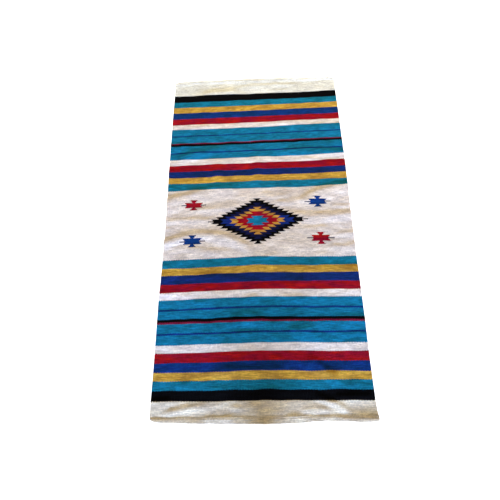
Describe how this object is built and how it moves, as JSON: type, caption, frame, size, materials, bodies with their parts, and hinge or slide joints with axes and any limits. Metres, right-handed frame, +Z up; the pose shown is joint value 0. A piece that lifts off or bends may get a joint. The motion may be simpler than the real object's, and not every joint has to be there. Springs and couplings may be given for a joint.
{
  "type": "serape blanket",
  "caption": "Flat-woven serape blanket with cross stripes and a stepped diamond, hemmed at both ends, lying flat in low swells.",
  "frame": {"origin": "on the floor, under the middle of the cloth's outline", "axes": "+X across the cloth, +Y along it towards its far end, +Z up"},
  "size_m": [0.817, 1.6216, 0.0095],
  "materials": {
    "woven_yarn": "matt weft-faced weave with a slight sheen on the yarn"
  },
  "bodies": {
    "root": {"serape": "woven_yarn"}
  },
  "joints": []
}
